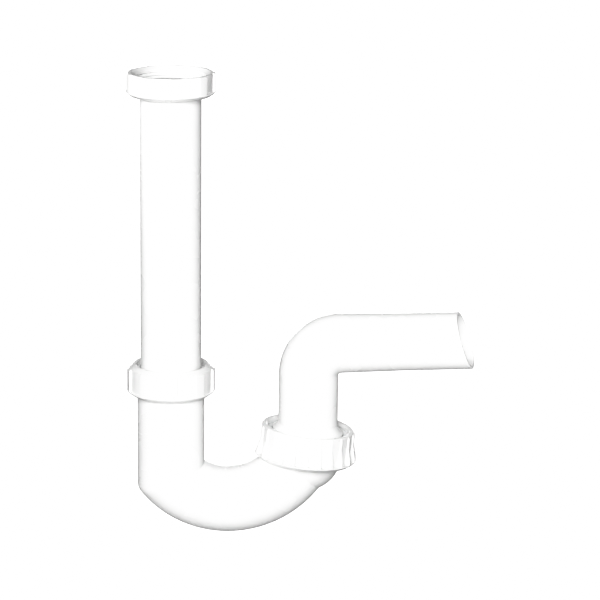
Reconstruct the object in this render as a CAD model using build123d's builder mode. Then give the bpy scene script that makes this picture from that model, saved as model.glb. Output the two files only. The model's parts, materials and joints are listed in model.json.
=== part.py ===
from build123d import *
import os
from math import asin, cos, degrees, radians, sin, sqrt, tan

# Tubular sink trap. Millimetres, +Z up along the inlet, +X towards the outlet.
# The origin is on the inlet's axis, at the inner end of the inlet nut's thread.

os.makedirs("parts", exist_ok=True)

# Clearances between pieces: beside each other and end to end
run_gap = 0.3
face_gap = 0.15

# Inlet tube
tube_od = 42.0
tube_wall = 1.8
tube_flange_width = 2.6
tube_flange_thickness = 2.2
tube_end_chamfer = 0.8
tube_root_fillet = 0.4

# Inlet washer
inlet_washer_thickness = 2.0
inlet_washer_width = 4.3

# Inlet nut
inlet_thread_length = 6.6
inlet_lead_depth = 2.0
inlet_lead_width = 3.0
inlet_relief_depth = 0.4
inlet_nut_wall = 6.6
inlet_lip_thickness = 2.6

# Grip ribs and edges, alike on the nuts
rib_count = 9
flute_width = 14.8
flute_depth = 2.2
flute_rim = 0.9
nut_edge = 0.8
nut_chamfer_width = 3.2
nut_chamfer_height = 2.4
inlet_nut_turn = 13.8
compression_nut_turn = 7.4

# Telescopic joint
mouth_drop = 203.6
tube_insertion = 30.0
compression_nut_wall = 4.9
compression_nut_skirt = 15.9
compression_top_rise = 1.9
compression_hole_play = 2.8
compression_lip_thickness = 3.4
compression_thread_length = 10.0
slip_ring_thickness = 1.6
slip_ring_chamfer = 0.3
seal_collar_thickness = 2.4
seal_collar_width = 2.9
seal_wedge_width = 2.0
seal_wedge_depth = 5.5
seal_tip_width = 0.8
mouth_rim_width = 1.6

# Trap bend
leg_wall = 2.0
leg_drop = 33.9
stop_depth = 44.6
arc_offset = 41.2
arc_step = 1.0
mitre_step = 0.3
leg_bore_step = 0.4
arc_wall = 2.2
arc_radius = 57.8
arc_entry_angle = 62.0
bowl_angle = 64.2
bowl_shift = 0.8
bowl_swell = 1.6
bowl_wall = 2.2
bowl_overlap = 0.9

# Outlet union, along its own leaning axis
outlet_lean = 5.7
cup_swell = 5.6
cup_thread_length = 8.0
cup_rim_width = 4.2
cup_rim_depth = 3.0
cup_height = 9.0
cup_foot_drop = 4.8
outlet_seal_thickness = 3.0
outlet_seal_width = 8.2
elbow_flange_thickness = 3.0
outlet_ring_thickness = 1.6
outlet_lip_thickness = 1.2
outlet_lip_overlap = 1.25
outlet_lip_round_width = 2.5
outlet_lip_round_height = 2.2
outlet_nut_wall = 3.5
outlet_nut_depth = 21.4
outlet_rib_height = 2.35
outlet_rib_start = 6.6
outlet_rib_full = 15.5
outlet_rib_count = 12
outlet_flute_width = 12.0
outlet_flute_depth = 0.9
outlet_nut_turn = 21.4

# Outlet elbow
elbow_narrowing = 0.3
elbow_wall = 2.2
elbow_rise = 61.6
elbow_throat = 1.2
foot_swell = 3.9
foot_flare = 9.0
flare_sink = 0.9
foot_bore_step = 0.8
foot_bore_overlap = 0.6
spigot_narrowing = 0.7
spigot_length = 46.0
arm_reach = 109.8
end_slant = 17.4
end_skew = 11.1

# Radii and levels that follow from the sizes above
tube_r = tube_od / 2
tube_bore_r = tube_r - tube_wall
flange_r = tube_r + tube_flange_width
inlet_thread_r = flange_r + run_gap
inlet_nut_r = inlet_thread_r + inlet_nut_wall
inlet_relief_r = inlet_thread_r + inlet_relief_depth
washer_top = -face_gap
flange_top = washer_top - inlet_washer_thickness
flange_bottom = flange_top - tube_flange_thickness
inlet_lip_top = flange_bottom - face_gap
inlet_nut_bottom = inlet_lip_top - inlet_lip_thickness
inlet_nut_top = inlet_thread_length + inlet_lead_depth
mouth_z = -mouth_drop
tube_bottom = mouth_z - tube_insertion

socket_r = tube_r + run_gap
leg_r = socket_r + leg_wall
seal_r = tube_r + run_gap
seal_collar_r = seal_r + seal_collar_width
seal_wedge_r = seal_r + seal_wedge_width
seal_tip_r = seal_r + seal_tip_width
seal_seat_r = seal_wedge_r + run_gap
compression_thread_r = seal_seat_r + mouth_rim_width
compression_bore_r = compression_thread_r + run_gap
compression_r = compression_bore_r + compression_nut_wall
compression_hole_r = tube_r + compression_hole_play
seal_top = mouth_z + seal_collar_thickness
seal_tip = mouth_z - seal_wedge_depth
seat_floor = seal_tip - face_gap
slip_ring_bottom = seal_top + face_gap
slip_ring_top = slip_ring_bottom + slip_ring_thickness
compression_lip_bottom = slip_ring_top + face_gap
compression_hole_top = compression_lip_bottom + compression_lip_thickness
compression_shoulder = compression_hole_top - compression_top_rise
compression_bottom = compression_shoulder - compression_nut_skirt - nut_chamfer_height
thread_end = mouth_z - compression_thread_length
thread_foot = thread_end - (compression_thread_r - leg_r)

arc_r = leg_r - arc_step
arc_bore_r = arc_r - arc_wall
bowl_r = arc_r + bowl_swell
bowl_bore_r = bowl_r - bowl_wall
arc_z = mouth_z - leg_drop
arc_centre = Vector(arc_offset, 0, arc_z)
leg_bore_r = arc_bore_r + leg_bore_step
mitre_r = leg_r - mitre_step
heel_reach = sqrt((arc_radius + arc_r) ** 2 - (arc_offset + mitre_r) ** 2)
throat_reach = sqrt((arc_radius - arc_r) ** 2 - (arc_offset - mitre_r) ** 2)
heel = Vector(-mitre_r, 0, arc_z - heel_reach)
throat = Vector(mitre_r, 0, arc_z - throat_reach)
stop_top = mouth_z - stop_depth
stop_bottom = stop_top - (socket_r - leg_bore_r)
bowl_reach = sqrt(bowl_r ** 2 - arc_r ** 2) * bowl_overlap
arc_exit_angle = bowl_angle - degrees(asin(bowl_reach / arc_radius))

lean = radians(outlet_lean)
outlet_up = Vector(sin(lean), 0, cos(lean))
outlet_across = Vector(cos(lean), 0, -sin(lean))
bowl_turn = radians(bowl_angle)
bowl_out = Vector(sin(bowl_turn), 0, -cos(bowl_turn))
bowl_centre = arc_centre + bowl_out * (arc_radius + bowl_shift)

# Heights along the leaning axis, from the bowl's centre
cup_rim = cup_height
cup_thread_end = cup_rim - cup_thread_length
outlet_seal_bottom = cup_rim + face_gap
outlet_seal_top = outlet_seal_bottom + outlet_seal_thickness
elbow_flange_bottom = outlet_seal_top + face_gap
elbow_flange_top = elbow_flange_bottom + elbow_flange_thickness
outlet_ring_bottom = elbow_flange_top + face_gap
outlet_ring_top = outlet_ring_bottom + outlet_ring_thickness
outlet_lip_bottom = outlet_ring_top + face_gap
outlet_hole_edge = outlet_lip_bottom + outlet_lip_thickness
outlet_nut_top = outlet_hole_edge + outlet_lip_round_height
outlet_nut_bottom = outlet_hole_edge - outlet_nut_depth
pivot = bowl_centre + outlet_up * outlet_hole_edge

cup_thread_r = bowl_r + cup_swell
cup_mouth_r = cup_thread_r - cup_rim_width
outlet_bore_r = cup_thread_r + run_gap
clamp_r = cup_thread_r - run_gap
outlet_seal_bore_r = clamp_r - outlet_seal_width
outlet_hole_r = clamp_r - outlet_lip_overlap
outlet_body_r = outlet_bore_r + outlet_nut_wall
outlet_rib_r = outlet_body_r + outlet_rib_height
outlet_crown_r = outlet_hole_r + outlet_lip_round_width
outlet_shoulder_r = outlet_body_r - outlet_crown_r
elbow_r = tube_r - elbow_narrowing
elbow_bore_r = elbow_r - elbow_wall
elbow_radius = elbow_r + elbow_throat
foot_bore_r = elbow_bore_r + foot_bore_step
foot_bore_top = outlet_hole_edge + elbow_bore_r * sin(lean) + foot_bore_overlap
foot_r = elbow_r + foot_swell
flare_top = outlet_hole_edge + foot_flare
spigot_r = elbow_r - spigot_narrowing
spigot_bore_r = spigot_r - elbow_wall
arm_z = pivot.Z + elbow_rise
turn_z = arm_z - elbow_radius
arm_start = pivot.X + elbow_radius
arm_end = pivot.X + arm_reach
arm_tip = arm_end + spigot_r
spigot_start = arm_end - spigot_length

# Planes and axes
mitre = Plane(origin=throat, x_dir=(0, 1, 0), z_dir=(throat - heel).cross(Vector(0, 1, 0)))
arc_axis = Axis(arc_centre, (0, -1, 0))
elbow_axis = Axis((arm_start, 0, turn_z), (0, 1, 0))
arm_section = Plane(origin=(0, 0, arm_z), x_dir=(0, 0, 1), z_dir=(0, 1, 0))
arm_axis = Axis((0, 0, arm_z), (1, 0, 0))
outlet_section = Plane(origin=bowl_centre, x_dir=outlet_across, z_dir=(0, -1, 0))
outlet_level = Plane(origin=bowl_centre, x_dir=outlet_across, z_dir=outlet_up)
outlet_axis = Axis(bowl_centre, outlet_up)


def turned(section, axis, *outline):
    """A turned piece: the closed outline of radius and height pairs, revolved about the axis."""
    with BuildPart() as piece:
        with BuildSketch(section):
            with BuildLine():
                Polyline(*outline, close=True)
            make_face()
        revolve(axis=axis)
    return piece.part


def ring(level, bottom, thickness, outer_r, inner_r):
    """A flat ring, set square to the level's axis."""
    with BuildPart() as piece:
        with BuildSketch(level.offset(bottom)):
            Circle(outer_r)
            Circle(inner_r, mode=Mode.SUBTRACT)
        extrude(amount=thickness)
    return piece.part


def flutes(level, floor_r, bottom, top, count, width, turn):
    """The cutters of a nut's flutes: slots between the grip ribs, down to a round floor."""
    with BuildPart() as cutters:
        with BuildSketch(level.offset(bottom)):
            with PolarLocations(floor_r - flute_depth, count, start_angle=turn):
                Rectangle(floor_r, width, align=(Align.MIN, Align.CENTER))
            Circle(floor_r, mode=Mode.SUBTRACT)
        extrude(amount=top - bottom)
    return cutters.part


def half_ball(radius):
    """The lower half of a ball round the bowl's centre, level with the cup."""
    with BuildPart() as half:
        with Locations(outlet_level.location):
            Sphere(radius, arc_size2=0, align=(Align.CENTER, Align.CENTER, Align.MAX))
    return half.part


def bent_run(down_r, round_r):
    """A leg of radius down_r mitred to a round run of radius round_r, from the mouth into the bowl."""
    with BuildPart() as leg:
        with BuildSketch(Plane.XY.offset(mouth_z)):
            Circle(down_r)
        extrude(amount=heel.Z - mouth_z - down_r)
        split(bisect_by=mitre, keep=Keep.TOP)
    entry = radians(arc_entry_angle)
    outward = Vector(-sin(entry), 0, -cos(entry))
    start = Plane(origin=arc_centre + outward * arc_radius, x_dir=outward, z_dir=(cos(entry), 0, -sin(entry)))
    with BuildPart() as run:
        with BuildSketch(start):
            Circle(round_r)
        revolve(axis=arc_axis, revolution_arc=arc_entry_angle + arc_exit_angle)
        split(bisect_by=mitre, keep=Keep.BOTTOM)
        add(leg.part)
    return run.part


def elbow_run(pipe_r, end_r):
    """The elbow's leg, tight bend and arm as one round run, ending long for the slanted cut."""
    with BuildPart() as run:
        with BuildSketch(Plane(origin=pivot)):
            Circle(pipe_r)
        extrude(amount=elbow_rise - elbow_radius)
        with BuildSketch(Plane(origin=(pivot.X, 0, turn_z))):
            Circle(pipe_r)
        revolve(axis=elbow_axis, revolution_arc=90)
        add(turned(
            arm_section, arm_axis,
            (0, arm_start),
            (pipe_r, arm_start),
            (end_r, spigot_start),
            (end_r, arm_tip),
            (0, arm_tip),
        ))
    return run.part


def finish_piece(piece, name):
    """Name the piece and write its file."""
    piece.label = name
    export_step(piece, f"parts/{name}.step")


# Inlet nut: lip under the tube's flange, relief round the washer, thread and lead-in above
with BuildPart() as inlet_nut:
    add(turned(
        Plane.XZ, Axis.Z,
        (tube_r + run_gap, inlet_nut_bottom),
        (inlet_nut_r - nut_chamfer_width, inlet_nut_bottom),
        (inlet_nut_r, inlet_nut_bottom + nut_chamfer_height),
        (inlet_nut_r, inlet_nut_top - nut_edge),
        (inlet_nut_r - nut_edge, inlet_nut_top),
        (inlet_thread_r + inlet_lead_width, inlet_nut_top),
        (inlet_thread_r, inlet_thread_length),
        (inlet_thread_r, 0),
        (inlet_relief_r, 0),
        (inlet_relief_r, inlet_lip_top),
        (tube_r + run_gap, inlet_lip_top),
    ))
    flute_start = inlet_nut_bottom + nut_chamfer_height + flute_rim
    flute_floor = inlet_nut_r - flute_depth
    add(flutes(
        Plane.XY, flute_floor, flute_start, inlet_nut_top,
        rib_count, flute_width, inlet_nut_turn,
    ), mode=Mode.SUBTRACT)
finish_piece(inlet_nut.part, "inlet_nut")

# Inlet washer: flat ring on the tube's flange
inlet_washer = ring(Plane.XY, flange_top, inlet_washer_thickness, flange_r, flange_r - inlet_washer_width)
finish_piece(inlet_washer, "inlet_washer")

# Inlet tube: plain pipe with a flange at the top and a chamfered lower end
with BuildPart() as inlet_tube:
    with BuildSketch(Plane.XY.offset(tube_bottom)):
        Circle(tube_r)
    extrude(amount=flange_bottom - tube_bottom)
    chamfer(inlet_tube.faces().sort_by(Axis.Z)[0].edges(), length=tube_end_chamfer)
    with BuildSketch(Plane.XY.offset(flange_bottom)):
        Circle(flange_r)
    extrude(amount=tube_flange_thickness)
    flange_root = inlet_tube.faces().filter_by(Plane.XY).group_by(Axis.Z)[-2].edges().sort_by(SortBy.RADIUS)[0]
    fillet(flange_root, radius=tube_root_fillet)
    with BuildSketch(Plane.XY.offset(tube_bottom)):
        Circle(tube_bore_r)
    extrude(amount=flange_top - tube_bottom, mode=Mode.SUBTRACT)
finish_piece(inlet_tube.part, "inlet_tube")

# Compression nut: slightly coned top with the tube's hole, fluted skirt, plain bore where the thread runs
with BuildPart() as compression_nut:
    add(turned(
        Plane.XZ, Axis.Z,
        (compression_bore_r, compression_bottom),
        (compression_r - nut_chamfer_width, compression_bottom),
        (compression_r, compression_bottom + nut_chamfer_height),
        (compression_r, compression_shoulder),
        (compression_hole_r, compression_hole_top),
        (compression_hole_r, compression_lip_bottom),
        (compression_bore_r, compression_lip_bottom),
    ))
    flute_start = compression_bottom + nut_chamfer_height + flute_rim
    flute_floor = compression_r - flute_depth
    add(flutes(
        Plane.XY, flute_floor, flute_start, compression_hole_top,
        rib_count, flute_width, compression_nut_turn,
    ), mode=Mode.SUBTRACT)
finish_piece(compression_nut.part, "compression_nut")

# Slip ring of the telescopic joint, its upper edges eased
with BuildPart() as compression_slip_ring:
    add(ring(Plane.XY, slip_ring_bottom, slip_ring_thickness, compression_thread_r - run_gap, seal_r))
    chamfer(compression_slip_ring.edges().group_by(Axis.Z)[-1], length=slip_ring_chamfer)
finish_piece(compression_slip_ring.part, "compression_slip_ring")

# Tapered seal: a collar over the bend's mouth and a wedge that goes down beside the tube
compression_seal = turned(
    Plane.XZ, Axis.Z,
    (seal_r, seal_top),
    (seal_collar_r, seal_top),
    (seal_collar_r, mouth_z + face_gap),
    (seal_wedge_r, mouth_z + face_gap),
    (seal_tip_r, seal_tip),
    (seal_r, seal_tip),
)
finish_piece(compression_seal, "compression_seal")

# Trap bend, outer form: mitred run, bowl, threaded mouth and threaded cup
with BuildPart() as trap_bend:
    add(bent_run(leg_r, arc_r))
    add(turned(
        Plane.XZ, Axis.Z,
        (0, mouth_z),
        (compression_thread_r, mouth_z),
        (compression_thread_r, thread_end),
        (leg_r, thread_foot),
        (0, thread_foot),
    ))
    add(half_ball(bowl_r))
    add(turned(
        outlet_section, outlet_axis,
        (0, cup_rim),
        (cup_thread_r, cup_rim),
        (cup_thread_r, cup_thread_end),
        (bowl_bore_r, -cup_foot_drop),
        (0, -cup_foot_drop),
    ))
    # Waterway: the run's bore, the bowl's hollow, the cup and the stepped socket with its seal seat
    add(bent_run(leg_bore_r, arc_bore_r), mode=Mode.SUBTRACT)
    add(half_ball(bowl_bore_r), mode=Mode.SUBTRACT)
    add(turned(
        outlet_section, outlet_axis,
        (0, cup_rim),
        (cup_mouth_r, cup_rim),
        (cup_mouth_r, cup_rim - cup_rim_depth),
        (bowl_bore_r, 0),
        (0, 0),
    ), mode=Mode.SUBTRACT)
    add(turned(
        Plane.XZ, Axis.Z,
        (0, mouth_z),
        (seal_seat_r, mouth_z),
        (seal_tip_r + run_gap, seat_floor),
        (socket_r, seat_floor),
        (socket_r, stop_top),
        (leg_bore_r, stop_bottom),
        (0, stop_bottom),
    ), mode=Mode.SUBTRACT)
finish_piece(trap_bend.part, "trap_bend")

# Outlet nut: wide hole, round shoulder, wedge ribs that stand out towards the open end
with BuildPart() as outlet_nut:
    with BuildSketch(outlet_section):
        with BuildLine():
            hole_edge = (outlet_hole_r, outlet_hole_edge)
            crown = (outlet_crown_r, outlet_nut_top)
            shoulder = (outlet_body_r, outlet_nut_top - outlet_shoulder_r)
            TangentArc(crown, hole_edge, tangent=(-1, 0))
            TangentArc(crown, shoulder, tangent=(1, 0))
            Polyline(
                shoulder,
                (outlet_body_r, outlet_hole_edge - outlet_rib_start),
                (outlet_rib_r, outlet_hole_edge - outlet_rib_full),
                (outlet_rib_r, outlet_nut_bottom + nut_chamfer_height),
                (outlet_rib_r - nut_chamfer_width, outlet_nut_bottom),
                (outlet_bore_r, outlet_nut_bottom),
                (outlet_bore_r, outlet_lip_bottom),
                (outlet_hole_r, outlet_lip_bottom),
                hole_edge,
            )
        make_face()
    revolve(axis=outlet_axis)
    flute_floor = outlet_body_r - outlet_flute_depth
    flute_start = outlet_nut_bottom + nut_chamfer_height + flute_rim
    add(flutes(
        outlet_level, flute_floor, flute_start, outlet_nut_top,
        outlet_rib_count, outlet_flute_width, outlet_nut_turn,
    ), mode=Mode.SUBTRACT)
finish_piece(outlet_nut.part, "outlet_nut")

# Slip ring under the outlet nut's lip, round the elbow's foot
outlet_slip_ring = ring(outlet_level, outlet_ring_bottom, outlet_ring_thickness, clamp_r, foot_r + run_gap)
finish_piece(outlet_slip_ring, "outlet_slip_ring")

# Outlet seal: flat ring on the cup's rim
outlet_seal = ring(outlet_level, outlet_seal_bottom, outlet_seal_thickness, clamp_r, outlet_seal_bore_r)
finish_piece(outlet_seal, "outlet_seal")

# Outlet elbow: flanged and flared foot square to the cup, upright leg, tight bend, slant-cut spigot
with BuildPart() as outlet_elbow:
    add(elbow_run(elbow_r, spigot_r))
    with BuildSketch(outlet_section):
        with BuildLine():
            flare_start = (elbow_r - flare_sink, flare_top)
            flare_end = (foot_r, outlet_hole_edge)
            TangentArc(flare_start, flare_end, tangent=(0, -1))
            Polyline(
                flare_end,
                (foot_r, elbow_flange_top),
                (clamp_r, elbow_flange_top),
                (clamp_r, elbow_flange_bottom),
                (0, elbow_flange_bottom),
                (0, flare_top),
                flare_start,
            )
        make_face()
    revolve(axis=outlet_axis)
    # Waterway and the slanted end
    add(elbow_run(elbow_bore_r, spigot_bore_r), mode=Mode.SUBTRACT)
    with BuildSketch(outlet_level.offset(elbow_flange_bottom)):
        Circle(foot_bore_r)
    extrude(amount=foot_bore_top - elbow_flange_bottom, mode=Mode.SUBTRACT)
    end_facing = Vector(1, -tan(radians(end_skew)), tan(radians(end_slant)))
    split(bisect_by=Plane(origin=(arm_end, 0, arm_z), z_dir=end_facing), keep=Keep.BOTTOM)
finish_piece(outlet_elbow.part, "outlet_elbow")
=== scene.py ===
import json
import math
from collections import namedtuple
from types import SimpleNamespace

import bpy
import numpy as np
from bpy.props import FloatProperty, FloatVectorProperty, IntProperty, PointerProperty
from bpy.types import Operator, Panel, PropertyGroup
from mathutils import Matrix, Vector


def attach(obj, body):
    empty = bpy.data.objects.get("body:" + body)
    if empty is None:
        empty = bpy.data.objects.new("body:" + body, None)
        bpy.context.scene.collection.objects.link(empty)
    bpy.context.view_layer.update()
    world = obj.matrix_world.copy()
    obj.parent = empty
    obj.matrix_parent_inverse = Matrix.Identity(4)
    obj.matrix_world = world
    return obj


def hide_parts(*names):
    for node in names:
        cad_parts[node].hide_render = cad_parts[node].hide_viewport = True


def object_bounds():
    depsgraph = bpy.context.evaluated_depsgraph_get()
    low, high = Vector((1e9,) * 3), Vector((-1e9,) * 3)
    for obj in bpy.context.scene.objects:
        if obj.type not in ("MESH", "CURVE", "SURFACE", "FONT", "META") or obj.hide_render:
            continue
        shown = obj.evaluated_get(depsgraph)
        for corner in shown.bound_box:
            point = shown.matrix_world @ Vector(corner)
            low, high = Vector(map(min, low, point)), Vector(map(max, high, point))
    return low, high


bl_info = {
    "name": "Tubular Sink Trap",
    "version": (1, 0, 0),
    "blender": (4, 5, 0),
    "location": "View3D > Sidebar > Sink Trap",
    "description": "Dresses the packed sink trap with finished pieces, plastics and a white stage",
    "category": "Add Mesh",
}

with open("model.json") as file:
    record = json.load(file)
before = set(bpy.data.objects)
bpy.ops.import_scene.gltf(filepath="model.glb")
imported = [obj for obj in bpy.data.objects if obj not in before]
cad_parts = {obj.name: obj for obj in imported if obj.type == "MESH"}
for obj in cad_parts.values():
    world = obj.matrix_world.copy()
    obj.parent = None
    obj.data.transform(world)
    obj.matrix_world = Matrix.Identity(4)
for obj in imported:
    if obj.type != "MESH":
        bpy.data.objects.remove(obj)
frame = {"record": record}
cad_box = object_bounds()

MM = 0.001

# How closely the surfaces are drawn: points, rows and columns, and distances in millimetres
THREAD_POINTS = 14
INLET_THREAD_POINTS = 9
EDGE_POINTS = 11
EDGE_POINTS_MANY = 7
MANY_RIBS = 16
EDGE_REACH = 1.6
FLUTE_STEP = 0.12
ON_LINE = 0.1
HOLD_SHARE = 0.25
LEAST_STEP = 0.3
RING_HOLD = 0.15
RING_COLUMNS = 144
WIDE_COLUMNS = 160
BEND_COLUMNS = 192
BORE_COLUMNS = 144
ELBOW_COLUMNS = 176
LEG_ROWS = 7
MITRE_ROWS = 25
ARC_ROWS = 46
BALL_POINTS = 26
POLE_ANGLE = 0.03

# Ends of the threads, in millimetres
NEAR_BORE = 0.2
NUT_LEAD = 0.6
NUT_FADE = 1.2
NEAR_ROOT = 0.3
RUN_OUT = 0.2
LEAD_IN = 0.3
END_FADE = 1.0
INLET_OVERRUN = 0.2
INLET_FADE = 0.9

# Mitre and hollows of the bend, in millimetres and shares
MITRE_REACH = 1.6
NARROWING_LEAD = 8.0
NARROWING_LENGTH = 18.0
BORE_HEEL = 0.7
CUT_BEYOND = 2.0

# Looks and stage, in metres where a length
PARTING_HEIGHT = 3.0
WHITE = (1.0, 1.0, 1.0, 1.0)
FLOOR_GREY = (0.30, 0.30, 0.30, 1.0)
TRAP_MIDDLE = (0.06, 0.0, -0.16)
SENSOR_WIDTH = 36.0
COMBINED_CURVE = 3
PRINT_TONES = ((0.30, 0.30), (0.45, 0.455), (0.60, 0.63), (0.75, 0.785),
               (0.90, 0.91), (1.0, 0.965), (1.2, 1.0))

Thread = namedtuple("Thread", "low_r high_r bottom top fade pitch depth offset")


# Settings that a user would change

def length(millimetres, description):
    """A length setting: shown in the scene's units, given here in millimetres."""
    return FloatProperty(description=description, default=millimetres * MM, min=0.0,
                         precision=5, unit="LENGTH", subtype="DISTANCE")


def turn(degrees, description):
    """An angle setting, given here in degrees."""
    return FloatProperty(description=description, default=math.radians(degrees),
                         unit="ROTATION", subtype="ANGLE")


def share(value, description, highest=1.0):
    """A plain number from nought to the highest value."""
    return FloatProperty(description=description, default=value, min=0.0, max=highest)


def ribs(number, description):
    """A number of ribs."""
    return IntProperty(description=description, default=number, min=3, max=40)


def tint(colour, description):
    """A colour setting."""
    return FloatVectorProperty(description=description, default=colour, size=3,
                               min=0.0, max=1.0, subtype="COLOR")


class FitSizes(PropertyGroup):
    """Clearances between pieces"""
    run_gap: length(0.3, "Gap between pieces that pass beside each other")
    face_gap: length(0.15, "Gap between pieces that meet end to end")
    thread_clear: length(0.45, "Gap from the outlet nut's thread to the seal and the flange")


class TubeSizes(PropertyGroup):
    """Straight inlet tube and the washer on its flange"""
    tube_od: length(42.0, "Outside diameter of the inlet tube")
    tube_wall: length(1.8, "Wall thickness of the inlet tube")
    flange_width: length(2.6, "How far the flange stands out from the tube")
    flange_thickness: length(2.2, "Thickness of the flange")
    tube_end_chamfer: length(0.8, "Chamfer at the lower end, which enters the bend")
    tube_insertion: length(30.0, "Depth of the tube inside the bend's mouth")
    washer_thickness: length(2.0, "Thickness of the washer on the flange")
    washer_width: length(4.3, "Width of the washer's face")


class NutSizes(PropertyGroup):
    """Ribbed union nuts"""
    rib_count: ribs(9, "Grip ribs round the two smaller nuts")
    flute_width: length(13.6, "Width of the flutes on the two smaller nuts")
    flute_depth: length(1.6, "Depth of the flutes on the two smaller nuts")
    flute_rim: length(0.9, "Plain band between the chamfer and the flutes")
    flute_ease: length(0.32, "Width of the rounded change from rib to flute")
    inlet_nut_turn: turn(12.7, "Turn of the inlet nut's flutes")
    compression_nut_turn: turn(7.4, "Turn of the middle nut's flutes")
    nut_edge: length(0.8, "Bevel round the inlet nut's open end")
    chamfer_width: length(3.2, "Width of the chamfer round a nut's open end")
    chamfer_height: length(2.4, "Height of the chamfer round a nut's open end")
    inlet_nut_wall: length(6.6, "Wall of the inlet nut outside its thread")
    inlet_lip: length(2.6, "Thickness of the lip under the tube's flange")
    inlet_thread_length: length(6.6, "Length of the inlet nut's thread")
    inlet_lead_depth: length(2.0, "Depth of the cone that leads into the inlet thread")
    inlet_lead_width: length(3.0, "Width of the cone that leads into the inlet thread")
    inlet_relief: length(0.4, "Relief round the washer under the inlet thread")
    compression_nut_wall: length(4.9, "Wall of the middle nut outside its thread")
    compression_skirt: length(15.5, "Height of the middle nut's fluted skirt")
    compression_rise: length(3.2, "Rise of the bevel round the middle nut's top")
    compression_bevel: length(4.6, "Width of the bevel round the middle nut's top")
    compression_play: length(2.8, "Gap between the tube and the hole in the middle nut")
    compression_lip: length(4.3, "Thickness of the middle nut's top at the hole")
    outlet_nut_wall: length(3.5, "Wall of the outlet nut outside its thread")
    outlet_nut_depth: length(21.4, "Height of the outlet nut below its hole's edge")
    outlet_lip: length(1.2, "Thickness of the outlet nut's lip at the hole")
    outlet_lip_overlap: length(1.25, "How far the lip covers the slip ring")
    outlet_lip_round: length(2.2, "Radius of the lip's inner round")
    outlet_crown_width: length(2.5, "Distance from the hole to the lip's crown")
    outlet_rib_height: length(2.35, "How far the wedge ribs stand out at the open end")
    outlet_rib_start: length(6.6, "Level where the wedge ribs begin, below the hole")
    outlet_rib_full: length(15.5, "Level where the wedge ribs are full, below the hole")
    outlet_rib_count: ribs(24, "Wedge ribs round the outlet nut")
    outlet_flute_width: length(7.2, "Width of the outlet nut's flutes")
    outlet_flute_depth: length(1.1, "Depth of the outlet nut's flutes below its body")
    outlet_nut_turn: turn(1.8, "Turn of the outlet nut's flutes")


class ThreadSizes(PropertyGroup):
    """Screw threads"""
    union_pitch: length(4.0, "Rise in one turn of the two unions' threads")
    union_depth: length(0.9, "Depth of the unions' threads")
    inlet_pitch: length(2.309, "Rise in one turn of the inlet nut's thread")
    inlet_depth: length(0.9, "Depth of the inlet nut's thread")
    ridge_share: share(0.26, "Share of the pitch that a ridge's flat top takes")
    flank_share: share(0.24, "Share of the pitch that a ridge's flanks take")


class SealSizes(PropertyGroup):
    """Slip rings and rubber seals"""
    slip_ring_thickness: length(1.6, "Thickness of the middle slip ring")
    outlet_ring_thickness: length(1.6, "Thickness of the outlet slip ring")
    collar_thickness: length(2.4, "Thickness of the tapered seal's collar")
    collar_width: length(2.9, "Width of the tapered seal's collar")
    wedge_width: length(2.0, "Width of the tapered seal at its root")
    wedge_depth: length(5.5, "Depth of the tapered seal below the mouth")
    tip_width: length(0.8, "Width of the tapered seal at its tip")
    outlet_seal_thickness: length(3.0, "Thickness of the flat outlet seal")
    outlet_seal_width: length(8.2, "Width of the flat outlet seal")


class BendSizes(PropertyGroup):
    """U bend with its threaded mouth, bowl and cup"""
    mouth_drop: length(203.6, "Depth of the bend's mouth below the inlet thread")
    mouth_rim: length(1.6, "Width of the mouth's rim outside the seal's seat")
    mouth_thread: length(10.0, "Length of the thread at the mouth")
    leg_wall: length(2.0, "Wall of the straight leg")
    leg_drop: length(33.9, "Depth of the arc's centre below the mouth")
    leg_bore_step: length(0.4, "How much wider the leg's bore is than the arc's")
    stop_depth: length(44.6, "Depth of the tube's stop below the mouth")
    arc_offset: length(41.2, "Distance of the arc's centre from the inlet's axis")
    arc_step: length(0.3, "How much narrower the arc is than the leg")
    arc_wall: length(2.9, "Wall of the arc")
    arc_radius: length(56.4, "Radius of the arc's centre line")
    heel_round: length(3.4, "Reach of the rounding at the outer corner of the mitre")
    throat_round: length(0.9, "Reach of the rounding at the inner corner of the mitre")
    bowl_angle: turn(64.2, "Place of the bowl on the arc, from its lowest point")
    bowl_shift: length(2.2, "How far the bowl's centre lies outside the arc's line")
    bowl_swell: length(2.3, "How much the bowl is wider than the arc")
    bowl_wall: length(3.6, "Wall of the bowl")
    bowl_overlap: share(0.9, "How far the arc runs into the bowl, as a share of its reach")
    outlet_lean: turn(5.7, "Lean of the cup's axis from upright")
    cup_swell: length(4.2, "How much the cup's thread stands out from the bowl")
    cup_thread: length(8.0, "Length of the cup's thread")
    cup_rim_width: length(4.2, "Width of the cup's rim")
    cup_rim_depth: length(3.0, "Depth of the straight part of the cup's mouth")
    cup_height: length(9.0, "Height of the cup's rim above the bowl's centre")
    cup_foot_drop: length(4.8, "Depth of the foot of the cup's cone")


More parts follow.
